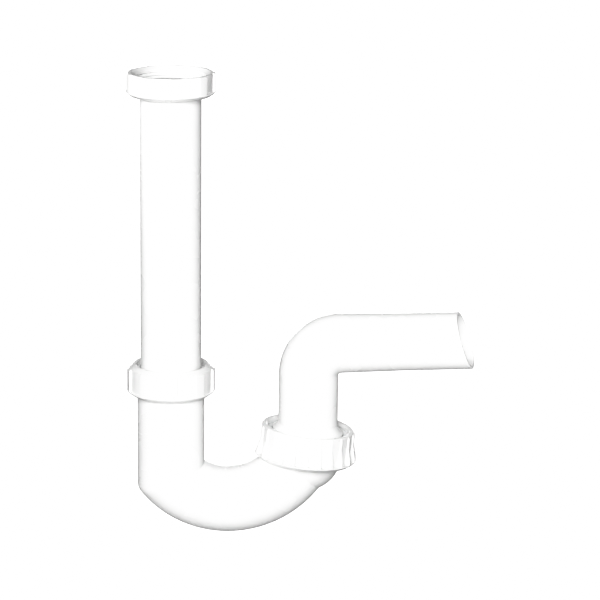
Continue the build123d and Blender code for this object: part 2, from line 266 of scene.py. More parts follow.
class ElbowSizes(PropertyGroup):
    """Outlet elbow with its foot, tight bend and spigot"""
    elbow_narrowing: length(0.3, "How much smaller the elbow's radius is than the tube's")
    elbow_wall: length(2.2, "Wall of the elbow")
    elbow_rise: length(61.6, "Height of the arm's axis above the outlet nut's hole")
    elbow_throat: length(1.2, "Radius at the inner corner of the bend")
    elbow_flange: length(3.0, "Thickness of the flange under the outlet nut")
    foot_swell: length(3.9, "How much the foot is wider than the leg")
    foot_flare: length(9.0, "Height of the flare from the foot to the leg")
    flare_sink: length(0.9, "How far the flare's curve ends inside the leg")
    foot_bore_step: length(0.8, "How much wider the bore is in the foot")
    spigot_narrowing: length(0.7, "How much smaller the spigot's radius is")
    spigot_length: length(46.0, "Length of the plain spigot")
    arm_reach: length(109.8, "Reach of the arm from the outlet's axis")
    end_slant: turn(17.4, "Slant of the cut end, longer below")
    end_skew: turn(16.0, "Skew of the cut end, longer behind")


class FinishSettings(PropertyGroup):
    """Colours and surfaces"""
    pipe_colour: tint((0.86, 0.86, 0.855), "White of the tube, the bend and the elbow")
    nut_colour: tint((0.76, 0.76, 0.755), "White of the three nuts")
    ring_colour: tint((0.78, 0.79, 0.79), "White of the slip rings")
    rubber_colour: tint((0.035, 0.035, 0.037), "Black of the washer and seals")
    pipe_roughness: share(0.26, "Roughness of the pipes' gloss")
    nut_roughness: share(0.30, "Roughness of the nuts' gloss")
    rubber_roughness: share(0.62, "Roughness of the rubber")
    grain_depth: length(0.012, "Depth of the mould's grain")
    parting_width: length(0.18, "Half width of the mould's parting line")


class StageSettings(PropertyGroup):
    """Floor, lights and camera"""
    floor_drop: length(40.0, "Gap between the trap's lowest point and the floor")
    key_power: share(82.0, "Power of the soft light just above the camera", 1000.0)
    front_power: share(2.0, "Power of the soft light right of the camera", 1000.0)
    back_power: share(10.0, "Power of the low light behind the trap", 1000.0)
    inlet_power: share(24.0, "Power of the narrow light on the inlet's left", 1000.0)
    end_power: share(26.0, "Power of the narrow light on the spigot's end", 1000.0)
    surround: share(0.14, "Brightness of the room that the plastic reflects", 10.0)
    backdrop: share(1.8, "Brightness of the floor and room as the camera sees them", 10.0)
    white_point: share(1.6, "Scene brightness that prints as full white", 10.0)
    camera_azimuth: turn(-4.6, "Camera's direction round the trap, from the front")
    camera_elevation: turn(14.15, "Camera's height above level")
    camera_distance: length(2062.92, "Camera's distance from the point it looks at")
    camera_lens: share(180.0, "Focal length on the sensor, in millimetres", 1000.0)
    camera_shift: share(0.1964, "Sideways shift of the picture, in widths")
    look_at: FloatVectorProperty(description="Point that the camera looks at", size=3, unit="LENGTH",
                                 default=(7.76 * MM, 0.0, -150.09 * MM), subtype="TRANSLATION")


SIZE_GROUPS = {
    "fit": FitSizes, "tube": TubeSizes, "nuts": NutSizes, "threads": ThreadSizes,
    "seals": SealSizes, "bend": BendSizes, "elbow": ElbowSizes,
}


class SinkTrapSettings(PropertyGroup):
    """All settings of the sink trap"""
    fit: PointerProperty(type=FitSizes)
    tube: PointerProperty(type=TubeSizes)
    nuts: PointerProperty(type=NutSizes)
    threads: PointerProperty(type=ThreadSizes)
    seals: PointerProperty(type=SealSizes)
    bend: PointerProperty(type=BendSizes)
    elbow: PointerProperty(type=ElbowSizes)
    finish: PointerProperty(type=FinishSettings)
    stage: PointerProperty(type=StageSettings)


def trap_sizes(settings):
    """Every size in millimetres, with the radii and levels that follow from the settings."""
    sizes = SimpleNamespace()
    for group_name, group_class in SIZE_GROUPS.items():
        group = getattr(settings, group_name)
        for key in group_class.__annotations__:
            in_metres = group.bl_rna.properties[key].unit == "LENGTH"
            setattr(sizes, key, getattr(group, key) / MM if in_metres else getattr(group, key))
    inlet_sizes(sizes)
    union_sizes(sizes)
    bend_sizes(sizes)
    outlet_sizes(sizes)
    elbow_sizes(sizes)
    return sizes


def inlet_sizes(s):
    """Radii and levels of the inlet tube, its washer and its nut, from the thread's inner end at zero."""
    s.tube_r = s.tube_od / 2
    s.tube_bore_r = s.tube_r - s.tube_wall
    s.flange_r = s.tube_r + s.flange_width
    s.inlet_thread_r = s.flange_r + s.run_gap
    s.inlet_nut_r = s.inlet_thread_r + s.inlet_nut_wall
    s.inlet_relief_r = s.inlet_thread_r + s.inlet_relief
    s.washer_top = -s.face_gap
    s.flange_top = s.washer_top - s.washer_thickness
    s.flange_bottom = s.flange_top - s.flange_thickness
    s.inlet_lip_top = s.flange_bottom - s.face_gap
    s.inlet_nut_bottom = s.inlet_lip_top - s.inlet_lip
    s.inlet_nut_top = s.inlet_thread_length + s.inlet_lead_depth
    s.mouth_z = -s.mouth_drop
    s.tube_bottom = s.mouth_z - s.tube_insertion


def union_sizes(s):
    """Radii and levels of the telescopic joint: seal, slip ring, nut and the bend's mouth."""
    s.socket_r = s.tube_r + s.run_gap
    s.leg_r = s.socket_r + s.leg_wall
    s.seal_r = s.tube_r + s.run_gap
    s.collar_r = s.seal_r + s.collar_width
    s.wedge_r = s.seal_r + s.wedge_width
    s.tip_r = s.seal_r + s.tip_width
    s.seat_r = s.wedge_r + s.run_gap
    s.mouth_thread_r = s.seat_r + s.mouth_rim
    s.mouth_root_r = s.mouth_thread_r - s.union_depth
    s.middle_bore_r = s.mouth_thread_r + s.run_gap
    s.middle_r = s.middle_bore_r + s.compression_nut_wall
    s.middle_hole_r = s.tube_r + s.compression_play
    s.seal_top = s.mouth_z + s.collar_thickness
    s.seal_tip = s.mouth_z - s.wedge_depth
    s.seat_floor = s.seal_tip - s.face_gap
    s.ring_bottom = s.seal_top + s.face_gap
    s.ring_top = s.ring_bottom + s.slip_ring_thickness
    s.middle_lip_bottom = s.ring_top + s.face_gap
    s.middle_hole_top = s.middle_lip_bottom + s.compression_lip
    s.middle_shoulder = s.middle_hole_top - s.compression_rise
    s.middle_bottom = s.middle_shoulder - s.compression_skirt - s.chamfer_height
    s.mouth_thread_end = s.mouth_z - s.mouth_thread
    s.mouth_thread_foot = s.mouth_thread_end - (s.mouth_thread_r - s.leg_r)


def bend_sizes(s):
    """Radii and centres of the leg, the arc and the bowl, and the outlet's leaning axis."""
    s.arc_r = s.leg_r - s.arc_step
    s.arc_bore_r = s.arc_r - s.arc_wall
    s.leg_bore_r = s.arc_bore_r + s.leg_bore_step
    s.bowl_r = s.arc_r + s.bowl_swell
    s.bowl_bore_r = s.bowl_r - s.bowl_wall
    s.arc_z = s.mouth_z - s.leg_drop
    s.stop_top = s.mouth_z - s.stop_depth
    s.stop_bottom = s.stop_top - (s.socket_r - s.leg_bore_r)
    bowl_reach = math.sqrt(s.bowl_r ** 2 - s.arc_r ** 2) * s.bowl_overlap
    s.arc_exit = s.bowl_angle - math.asin(bowl_reach / s.arc_radius)
    s.outlet_up = np.array((math.sin(s.outlet_lean), 0.0, math.cos(s.outlet_lean)))
    s.outlet_across = np.array((math.cos(s.outlet_lean), 0.0, -math.sin(s.outlet_lean)))
    bowl_way = np.array((math.sin(s.bowl_angle), 0.0, -math.cos(s.bowl_angle)))
    arc_centre = np.array((s.arc_offset, 0.0, s.arc_z))
    s.bowl_centre = arc_centre + bowl_way * (s.arc_radius + s.bowl_shift)


def outlet_sizes(s):
    """Heights along the leaning axis from the bowl's centre, and the outlet union's radii."""
    s.cup_thread_end = s.cup_height - s.cup_thread
    s.outlet_seal_bottom = s.cup_height + s.face_gap
    s.outlet_seal_top = s.outlet_seal_bottom + s.outlet_seal_thickness
    s.elbow_bottom = s.outlet_seal_top + s.face_gap
    s.elbow_flange_top = s.elbow_bottom + s.elbow_flange
    s.outlet_ring_bottom = s.elbow_flange_top + s.face_gap
    s.outlet_ring_top = s.outlet_ring_bottom + s.outlet_ring_thickness
    s.outlet_lip_bottom = s.outlet_ring_top + s.face_gap
    s.outlet_hole_edge = s.outlet_lip_bottom + s.outlet_lip
    s.outlet_nut_top = s.outlet_hole_edge + s.outlet_lip_round
    s.outlet_nut_bottom = s.outlet_hole_edge - s.outlet_nut_depth
    s.pivot = s.bowl_centre + s.outlet_up * s.outlet_hole_edge
    s.cup_thread_r = s.bowl_r + s.cup_swell
    s.cup_root_r = s.cup_thread_r - s.union_depth
    s.cup_mouth_r = s.cup_thread_r - s.cup_rim_width
    s.outlet_bore_r = s.cup_thread_r + s.run_gap
    s.clamp_r = s.cup_thread_r - s.run_gap
    s.pass_r = s.clamp_r - s.thread_clear
    s.outlet_seal_bore_r = s.clamp_r - s.outlet_seal_width
    s.outlet_hole_r = s.clamp_r - s.outlet_lip_overlap
    s.outlet_body_r = s.outlet_bore_r + s.outlet_nut_wall
    s.outlet_rib_r = s.outlet_body_r + s.outlet_rib_height
    s.outlet_shoulder_r = s.outlet_body_r - s.outlet_hole_r - s.outlet_crown_width


def elbow_sizes(s):
    """The elbow's radii, and the lengths along its centre line from the flange's underside."""
    s.elbow_r = s.tube_r - s.elbow_narrowing
    s.elbow_bore_r = s.elbow_r - s.elbow_wall
    s.elbow_radius = s.elbow_r + s.elbow_throat
    s.foot_r = s.elbow_r + s.foot_swell
    s.foot_bore_r = s.elbow_bore_r + s.foot_bore_step
    s.spigot_r = s.elbow_r - s.spigot_narrowing
    s.spigot_bore_r = s.spigot_r - s.elbow_wall
    s.arm_z = s.pivot[2] + s.elbow_rise
    s.run_pivot = s.outlet_hole_edge - s.elbow_bottom
    s.run_turn = s.run_pivot + s.elbow_rise - s.elbow_radius
    s.run_arm = s.run_turn + s.elbow_radius * math.pi / 2
    s.run_end = s.run_arm + s.arm_reach - s.elbow_radius
    s.run_spigot = s.run_end - s.spigot_length


# Outlines and grids

def eased(value):
    """A smooth step: nought below 0, one above 1, and a cubic with level ends between."""
    clipped = np.clip(value, 0.0, 1.0)
    return clipped * clipped * (3.0 - 2.0 * clipped)


def rounded_line(corners, steps=6, hold=0.3, closed=True):
    """An outline of radius and height pairs, from corners of radius, height and rounding.

    Each corner becomes a circular arc, written as a rational quadratic curve between the two points where
    it leaves the sides. A holding point just outside each end of the arc keeps the flats flat. An open
    line keeps its two end points as they are.
    """
    given = np.asarray(corners, float)
    corner, rounds = given[:, :2], given[:, 2]
    before = np.roll(corner, 1, axis=0) - corner
    after = np.roll(corner, -1, axis=0) - corner
    before_length = np.linalg.norm(before, axis=1)
    after_length = np.linalg.norm(after, axis=1)
    before_way = before / before_length[:, None]
    after_way = after / after_length[:, None]
    half_angle = 0.5 * np.arccos(np.clip((before_way * after_way).sum(axis=1), -1.0, 1.0))
    reach = rounds / np.tan(half_angle)
    before_free = before_length - reach - np.roll(reach, 1)
    after_free = after_length - reach - np.roll(reach, -1)
    before_hold = reach + np.minimum(hold, HOLD_SHARE * before_free)
    after_hold = reach + np.minimum(hold, HOLD_SHARE * after_free)
    first = corner + before_way * reach[:, None]
    last = corner + after_way * reach[:, None]
    along = np.linspace(0.0, 1.0, steps + 1)[None, :, None]
    pull = np.sin(half_angle)[:, None, None]
    near, middle, far = (1.0 - along) ** 2, 2.0 * along * (1.0 - along) * pull, along ** 2
    arcs = (near * first[:, None] + middle * corner[:, None] + far * last[:, None]) / (near + middle + far)
    lead = corner + before_way * before_hold[:, None]
    trail = corner + after_way * after_hold[:, None]
    rows = np.concatenate([lead[:, None], arcs, trail[:, None]], axis=1)
    if closed:
        return rows.reshape(-1, 2)
    return np.concatenate([corner[:1], rows[1:-1].reshape(-1, 2), corner[-1:]])


def filled_line(outline, spacing, fine=(), closed=True):
    """The outline with extra points no further apart than the spacing.

    Each fine zone is a lowest and highest radius, a lowest and highest height and a spacing of its own: the
    line gets points that close where it runs through the zone, for threads and the ends of flutes.
    """
    points = np.concatenate([outline, outline[:1]]) if closed else outline
    place = np.concatenate([[0.0], np.cumsum(np.linalg.norm(np.diff(points, axis=0), axis=1))])
    wanted = [place]
    zones = [(-np.inf, np.inf, -np.inf, np.inf, spacing), *fine]
    for low_r, high_r, low_z, high_z, step in zones:
        extra = np.arange(step / 2, place[-1], step)
        radius = np.interp(extra, place, points[:, 0])
        height = np.interp(extra, place, points[:, 1])
        inside = (radius >= low_r) & (radius <= high_r) & (height >= low_z) & (height <= high_z)
        apart = np.abs(extra[:, None] - place[None, :]).min(axis=1) > LEAST_STEP * step
        wanted.append(extra[inside & apart])
    places = np.unique(np.round(np.concatenate(wanted), 6))
    line = np.stack([np.interp(places, place, points[:, 0]), np.interp(places, place, points[:, 1])], axis=1)
    return line[:-1] if closed else line


def even_angles(columns):
    """Angles evenly spaced round a circle."""
    return np.linspace(0.0, 2.0 * math.pi, columns, endpoint=False)


def turned(line, columns):
    """Radii, heights and angles of a line that is turned round an axis."""
    return line[:, 0, None], line[:, 1, None], even_angles(columns)[None, :]


def upright_points(radius, height, angles):
    """Points round the upright axis from radius, height and angle."""
    return np.stack([radius * np.cos(angles), radius * np.sin(angles), height + 0.0 * angles], axis=-1)


def leaning_points(s, radius, height, angles):
    """Points round the outlet's leaning axis, with heights counted from the bowl's centre."""
    across = (radius * np.cos(angles))[..., None] * s.outlet_across
    sideways = (radius * np.sin(angles))[..., None] * np.array((0.0, 1.0, 0.0))
    return s.bowl_centre + across + sideways + (height + 0.0 * angles)[..., None] * s.outlet_up


def thread_zone(s, radius, bottom, top, beyond=ON_LINE):
    """The zone of a union's thread, which gets close points."""
    return radius - ON_LINE, radius + beyond, bottom, top, s.union_pitch / THREAD_POINTS


def thread_rise(s, thread, radius, height, angles):
    """How far a right-hand thread's ridge stands out from its root.

    The phase is the height in pitches less the turn in whole turns, so it stays the same along the helix. The
    ridge has a flat top of the ridge share, and eased flanks of the flank share each side. It fades out
    inside both ends of the thread.
    """
    phase = height / thread.pitch - angles / (2.0 * math.pi) - thread.offset
    away = np.abs((phase + 0.5) % 1.0 - 0.5)
    ridge = eased((s.ridge_share / 2 + s.flank_share - away) / s.flank_share)
    band = eased((height - thread.bottom) / thread.fade) * eased((thread.top - height) / thread.fade)
    on_thread = (radius > thread.low_r) & (radius < thread.high_r)
    return ridge * (band * on_thread) * thread.depth


# Meshes

def grid_faces(rows, columns, ring):
    """Four-sided faces of a grid whose columns close; the rows close too where the grid is a ring."""
    index = np.arange(rows * columns).reshape(rows, columns)
    below = np.roll(index, -1, axis=0) if ring else index[1:]
    here = index if ring else index[:-1]
    faces = np.stack([here, np.roll(here, -1, axis=1), np.roll(below, -1, axis=1), below], axis=-1)
    return faces.reshape(-1, 4)


def enclosed_volume(points, triangles):
    """Volume inside a closed mesh: the sum of the signed pyramids from the origin to its triangles."""
    a, b, c = (points[triangles[:, i]] for i in range(3))
    return np.einsum("ij,ij->i", a, np.cross(b, c)).sum() / 6.0


def new_piece(name, points, ring=True):
    """A mesh object from a grid of points in millimetres, its faces turned outwards.

    A ring grid closes on itself both ways. An open one gets a middle point at each end, joined to the end row
    by triangles, so that it is closed as well.
    """
    rows, columns = points.shape[:2]
    corners = points.reshape(-1, 3) * MM
    quads = grid_faces(rows, columns, ring)
    caps = np.zeros((0, 3), int)
    if not ring:
        corners = np.concatenate([corners, points[[0, -1]].mean(axis=1) * MM])
        first = np.arange(columns)
        last = first + (rows - 1) * columns
        start_cap = np.stack([np.full(columns, rows * columns), np.roll(first, -1), first], axis=1)
        end_cap = np.stack([np.full(columns, rows * columns + 1), last, np.roll(last, -1)], axis=1)
        caps = np.concatenate([start_cap, end_cap])
    triangles = np.concatenate([quads[:, [0, 1, 2]], quads[:, [0, 2, 3]], caps])
    if enclosed_volume(corners, triangles) < 0.0:
        quads = quads[:, ::-1]
        caps = caps[:, ::-1]
    mesh = bpy.data.meshes.new(name)
    mesh.vertices.add(len(corners))
    mesh.vertices.foreach_set("co", corners.ravel())
    mesh.loops.add(quads.size + caps.size)
    mesh.loops.foreach_set("vertex_index", np.concatenate([quads.ravel(), caps.ravel()]))
    mesh.polygons.add(len(quads) + len(caps))
    starts = np.concatenate([np.arange(len(quads)) * 4, quads.size + np.arange(len(caps)) * 3])
    mesh.polygons.foreach_set("loop_start", starts)
    mesh.update(calc_edges=True)
    piece = bpy.data.objects.new(name, mesh)
    bpy.context.scene.collection.objects.link(piece)
    return piece


def joined(piece, other, how):
    """Join or cut the piece with another closed piece, keep the result in its mesh and drop the other."""
    change = piece.modifiers.new(how.lower(), "BOOLEAN")
    change.operation = how
    change.solver = "MANIFOLD"
    change.object = other
    bpy.context.view_layer.update()
    shaped = piece.evaluated_get(bpy.context.evaluated_depsgraph_get())
    result = bpy.data.meshes.new_from_object(shaped)
    piece.modifiers.clear()
    before = piece.data
    result.name = piece.name
    piece.data = result
    bpy.data.meshes.remove(before)
    bpy.data.objects.remove(other)
    if not result.polygons:
        raise RuntimeError(f"{piece.name}: the {how.lower()} left nothing")


def body_of_node(node):
    """The moving body that carries a solid, from the packed record."""
    bodies = frame["record"]["behaviour"]["bodies"]
    return next(body for body, members in bodies.items() if node in members)


def dress_piece(piece, node, material, sharp_angle=35.0):
    """Smooth the piece, give it its material and put it in the place of its solid."""
    mesh = piece.data
    mesh.polygons.foreach_set("use_smooth", np.ones(len(mesh.polygons), bool))
    mesh.set_sharp_from_angle(angle=math.radians(sharp_angle))
    mesh.materials.clear()
    mesh.materials.append(material)
    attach(piece, body_of_node(node))
    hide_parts(node)


def add_piece(node, points, material):
    """Make the piece of one solid from a ring grid and dress it."""
    dress_piece(new_piece(f"{node}_piece", points), node, material)


# Inlet tube

def tube_grid(s):
    """The inlet tube: its wall's outline, with the flange on top, turned about the upright axis."""
    outline = rounded_line([
        (s.tube_bore_r, s.tube_bottom, 0.25), (s.tube_r - s.tube_end_chamfer, s.tube_bottom, 0.15),
        (s.tube_r, s.tube_bottom + s.tube_end_chamfer, 0.3), (s.tube_r, s.flange_bottom, 0.4),
        (s.flange_r, s.flange_bottom, 0.3), (s.flange_r, s.flange_top, 0.3),
        (s.tube_bore_r, s.flange_top, 0.5)])
    return upright_points(*turned(filled_line(outline, 12.0), WIDE_COLUMNS))


# Nuts

def grip_angles(s, radius, count, width, start):
    """Angles round a nut from the first flute's, close at the flutes' edges and wide on flats and ribs."""
    pitch = 2.0 * math.pi / count
    edge = math.asin(width / 2 / radius)
    band = EDGE_REACH * s.flute_ease / radius
    close = EDGE_POINTS if count < MANY_RIBS else EDGE_POINTS_MANY
    flat = np.linspace(-edge + band, edge - band, close // 2 + 1)[1:-1]
    rib = np.linspace(edge + band, pitch - edge - band, close - 3)[1:-1]
    rise = np.linspace(edge - band, edge + band, close)
    fall = np.linspace(pitch - edge - band, pitch - edge + band, close)
    one = np.concatenate([flat, rise, rib, fall])
    every = start + np.arange(count)[:, None] * pitch + one[None, :]
    return np.sort(every.ravel() % (2.0 * math.pi))


def fluted(s, radius, height, angles, floor_r, bottom, count, width, start):
    """Radii with the flutes taken out.

    The floor is round, at the floor's radius. A radius beyond it, within half the flute's width of the
    flute's middle and above the flute's foot, comes in to the floor, with an eased change at the edges.
    """
    pitch = 2.0 * math.pi / count
    off = (angles - start + pitch / 2) % pitch - pitch / 2
    floor = np.minimum(floor_r, radius)
    beside = np.abs(radius * np.sin(off))
    across = eased((width / 2 - beside) / s.flute_ease + 0.5)
    above = eased((height - bottom) / s.flute_ease + 0.5)
    return radius - (radius - floor) * across * above


def nut_surface(s, nut):
    """Radii, heights and angles of a nut: its outline turned, less the flutes and with the thread's ridge.

    The nut gives its corners, open end, outer and floor radius, grip, thread and fine zones. Its radius is
    the fluted outline's radius less the ridge's rise.
    """
    foot = nut.bottom + s.chamfer_height + s.flute_rim
    flute_foot = (nut.outer_r - ON_LINE, nut.outer_r + ON_LINE,
                  foot - s.flute_ease, foot + s.flute_ease, FLUTE_STEP)
    outline = rounded_line(nut.corners, nut.steps)
    line = filled_line(outline, nut.spacing, [flute_foot, *nut.fine])
    radius, height = line[:, 0, None], line[:, 1, None]
    angles = grip_angles(s, nut.outer_r, *nut.grip)[None, :]
    outer = fluted(s, radius + 0.0 * angles, height, angles, nut.floor_r, foot, *nut.grip)
    return outer - thread_rise(s, nut.thread, radius, height, angles), height, angles


def union_nut_thread(s, bore_r, bottom, top):
    """The inside thread of a union's nut, half a pitch from the ridge that it meets."""
    return Thread(bore_r - NEAR_BORE, bore_r + NEAR_BORE, bottom + NUT_LEAD, top, NUT_FADE,
                  s.union_pitch, s.union_depth, 0.5)


def inlet_nut_grid(s):
    """The inlet nut: lip, relief, thread and lead-in inside, flutes outside."""
    hole_r = s.tube_r + s.run_gap
    thread_top = s.inlet_thread_length
    nut = SimpleNamespace(bottom=s.inlet_nut_bottom, outer_r=s.inlet_nut_r, steps=6, spacing=3.0)
    nut.corners = [
        (hole_r, nut.bottom, 0.35), (nut.outer_r - s.chamfer_width, nut.bottom, 0.9),
        (nut.outer_r, nut.bottom + s.chamfer_height, 0.9), (nut.outer_r, s.inlet_nut_top - s.nut_edge, 0.45),
        (nut.outer_r - s.nut_edge, s.inlet_nut_top, 0.45),
        (s.inlet_thread_r + s.inlet_lead_width, s.inlet_nut_top, 0.5), (s.inlet_thread_r, thread_top, 0.4),
        (s.inlet_thread_r, 0.0, 0.12), (s.inlet_relief_r, 0.0, 0.12),
        (s.inlet_relief_r, s.inlet_lip_top, 0.2), (hole_r, s.inlet_lip_top, 0.25)]
    nut.floor_r = nut.outer_r - s.flute_depth
    nut.grip = (s.rib_count, s.flute_width, s.inlet_nut_turn)
    nut.thread = Thread(0.0, s.inlet_relief_r - ON_LINE, 0.0, thread_top + INLET_OVERRUN, INLET_FADE,
                        s.inlet_pitch, s.inlet_depth, 0.0)
    nut.fine = [(s.inlet_thread_r - ON_LINE, s.inlet_thread_r + 1.0, 0.0, thread_top + 0.5,
                 s.inlet_pitch / INLET_THREAD_POINTS)]
    return upright_points(*nut_surface(s, nut))


def middle_nut_grid(s):
    """The middle nut: bevelled top with the tube's hole, fluted skirt, thread inside."""
    bore_r = s.middle_bore_r
    nut = SimpleNamespace(bottom=s.middle_bottom, outer_r=s.middle_r, steps=6, spacing=3.0)
    nut.corners = [
        (bore_r, nut.bottom, 0.4), (nut.outer_r - s.chamfer_width, nut.bottom, 0.8),
        (nut.outer_r, nut.bottom + s.chamfer_height, 0.9), (nut.outer_r, s.middle_shoulder, 0.7),
        (nut.outer_r - s.compression_bevel, s.middle_hole_top, 1.0),
        (s.middle_hole_r, s.middle_hole_top, 0.5), (s.middle_hole_r, s.middle_lip_bottom, 0.3),
        (bore_r, s.middle_lip_bottom, 0.3)]
    nut.floor_r = nut.outer_r - s.flute_depth
    nut.grip = (s.rib_count, s.flute_width, s.compression_nut_turn)
    nut.thread = union_nut_thread(s, bore_r, nut.bottom, s.mouth_z + 0.5)
    flute_tops = (nut.floor_r - 0.6, nut.outer_r, s.middle_shoulder - 0.5, s.middle_hole_top, 0.3)
    nut.fine = [thread_zone(s, bore_r, nut.bottom, s.mouth_z + 1.0, beyond=0.6), flute_tops]
    return upright_points(*nut_surface(s, nut))


def outlet_nut_grid(s):
    """The outlet nut: rounded lip round a wide hole, round shoulder, wedge ribs, thread inside."""
    bore_r = s.outlet_bore_r
    nut = SimpleNamespace(bottom=s.outlet_nut_bottom, outer_r=s.outlet_rib_r, steps=8, spacing=1.2)
    nut.corners = [
        (s.outlet_hole_r, s.outlet_lip_bottom, 0.2), (bore_r, s.outlet_lip_bottom, 0.3),
        (bore_r, nut.bottom, 0.4), (nut.outer_r - s.chamfer_width, nut.bottom, 0.8),
        (nut.outer_r, nut.bottom + s.chamfer_height, 0.9),
        (nut.outer_r, s.outlet_hole_edge - s.outlet_rib_full, 1.5),
        (s.outlet_body_r, s.outlet_hole_edge - s.outlet_rib_start, 2.0),
        (s.outlet_body_r, s.outlet_nut_top, s.outlet_shoulder_r),
        (s.outlet_hole_r, s.outlet_nut_top, s.outlet_lip_round)]
    nut.floor_r = s.outlet_body_r - s.outlet_flute_depth
    nut.grip = (s.outlet_rib_count, s.outlet_flute_width, s.outlet_nut_turn)
    nut.thread = union_nut_thread(s, bore_r, nut.bottom, s.cup_height)
    nut.fine = [thread_zone(s, bore_r, nut.bottom, s.cup_height + 0.5)]
    return leaning_points(s, *nut_surface(s, nut))


# Slip rings and seals

def ring_line(inner_r, outer_r, bottom, top, round_r):
    """The outline of a flat ring with eased edges."""
    corners = ((inner_r, bottom), (outer_r, bottom), (outer_r, top), (inner_r, top))
    return filled_line(rounded_line([(*corner, round_r) for corner in corners], hold=RING_HOLD), 1.5)


def upright_ring_grid(*ring):
    """A flat ring round the upright axis, from its radii, levels and edge's rounding."""
    return upright_points(*turned(ring_line(*ring), RING_COLUMNS))


def leaning_ring_grid(s, *ring):
    """A flat ring round the outlet's leaning axis, from its radii, heights and edge's rounding."""
    return leaning_points(s, *turned(ring_line(*ring), WIDE_COLUMNS))


def tapered_seal_grid(s):
    """The tapered seal: a collar over the mouth and a wedge down beside the tube."""
    collar_bottom = s.mouth_z + s.face_gap
    outline = rounded_line([
        (s.seal_r, s.seal_top, 0.3), (s.collar_r, s.seal_top, 0.4), (s.collar_r, collar_bottom, 0.3),
        (s.wedge_r, collar_bottom, 0.2), (s.tip_r, s.seal_tip, 0.25), (s.seal_r, s.seal_tip, 0.25)],
        hold=RING_HOLD)
    return upright_points(*turned(filled_line(outline, 0.5), RING_COLUMNS))


# Trap bend

def parabola_ramp(way, reach):
    """Nought before minus the reach, the way itself after the reach, and a parabola that joins them."""
    middle = (way + reach) ** 2 / (4.0 * reach)
    return np.where(way <= -reach, 0.0, np.where(way >= reach, way, middle))


def mitred_run(s, leg_r, arc_r, top, columns, heel_round):
    """Leg and arc as one surface, from a level on the leg to the arc's end inside the bowl.

    Each line along the surface goes straight down the leg to the point where it meets the arc's line, then
    round the arc. Both ways are followed at once, the leg's distance held back and the arc's let go by a
    parabola over the rounding's reach, which rounds the corner; the reach grows from the throat to the heel.
    """
    angles = even_angles(columns)
    ring_radius = s.arc_radius - arc_r * np.cos(angles)
    meet = np.arcsin((leg_r * np.cos(angles) - s.arc_offset) / ring_radius)
    meet_z = s.arc_z - ring_radius * np.cos(meet)
    leg_length = top - meet_z
    arc_length = ring_radius * (s.arc_exit - meet)
    reach = s.throat_round + (heel_round - s.throat_round) * eased((1.0 - np.cos(angles)) / 2)
    corner = MITRE_REACH * reach
    near = np.linspace(-1.0, 1.0, MITRE_ROWS)[:, None] * corner[None, :]
    leg_rows = np.linspace(0.0, 1.0, LEG_ROWS)[:-1, None]
    down = -leg_length[None, :] + leg_rows * (leg_length - corner)[None, :]
    arc_rows = np.linspace(0.0, 1.0, ARC_ROWS)[1:, None]
    round_way = corner[None, :] + arc_rows * (arc_length - corner)[None, :]
    way = np.concatenate([down, near, round_way])
    let_go = parabola_ramp(way, reach[None, :])
    held = -parabola_ramp(-way, reach[None, :])
    turn_now = meet[None, :] + let_go / ring_radius[None, :]
    x = s.arc_offset + ring_radius * np.sin(turn_now)
    z = s.arc_z - ring_radius * np.cos(turn_now) - held
    narrowing = eased((way + NARROWING_LEAD) / NARROWING_LENGTH)
    y = (leg_r + (arc_r - leg_r) * narrowing) * np.sin(angles)[None, :]
    return np.stack([x, y, z], axis=-1)


def with_thread(s, line, columns, root_r, bottom, top):
    """Radii, heights and angles of a turned line, with a union's thread raised from its root."""
    radius, height, angles = turned(line, columns)
    thread = Thread(root_r - NEAR_ROOT, root_r + NEAR_ROOT, bottom + RUN_OUT, top - LEAD_IN, END_FADE,
                    s.union_pitch, s.union_depth, 0.0)
    return radius + thread_rise(s, thread, radius, height, angles), height, angles


def bend_outside(s, columns):
    """The bend's outside: threaded mouth, chamfer, leg and arc, as one closed surface."""
    root_r, leg_top = s.mouth_root_r, s.mouth_thread_foot - 4.0
    mouth = rounded_line([
        (root_r - 1.2, s.mouth_z, 0.0), (root_r, s.mouth_z, 0.45), (root_r, s.mouth_thread_end, 0.4),
        (s.leg_r, s.mouth_thread_foot, 0.6), (s.leg_r, leg_top, 0.0)], closed=False)
    line = filled_line(mouth, 2.0, [thread_zone(s, root_r, s.mouth_thread_end, s.mouth_z)], closed=False)
    collar = upright_points(*with_thread(s, line, columns, root_r, s.mouth_thread_end, s.mouth_z))
    run = mitred_run(s, s.leg_r, s.arc_r, leg_top, columns, s.heel_round)
    return np.concatenate([collar, run[1:]])


def bend_inside(s, columns):
    """The bend's waterway: the seal's seat, the tube's socket, the stop and the bores of leg and arc."""
    leg_top = s.stop_bottom - CUT_BEYOND
    mouth = rounded_line([
        (s.seat_r + 0.5, s.mouth_z + CUT_BEYOND, 0.0), (s.seat_r, s.mouth_z, 0.3),
        (s.tip_r + s.run_gap, s.seat_floor, 0.2), (s.socket_r, s.seat_floor, 0.3),
        (s.socket_r, s.stop_top, 0.3), (s.leg_bore_r, s.stop_bottom, 0.3),
        (s.leg_bore_r, leg_top, 0.0)], closed=False)
    socket = upright_points(*turned(filled_line(mouth, 6.0, closed=False), columns))
    run = mitred_run(s, s.leg_bore_r, s.arc_bore_r, leg_top, columns, BORE_HEEL * s.heel_round)
    return np.concatenate([socket, run[1:]])


def ball_line(radius, top):
    """The lower part of a ball's outline, from near its pole up to a height."""
    angles = np.linspace(POLE_ANGLE - 0.5 * math.pi, math.asin(top / radius), BALL_POINTS)
    return np.stack([radius * np.cos(angles), radius * np.sin(angles)], axis=1)


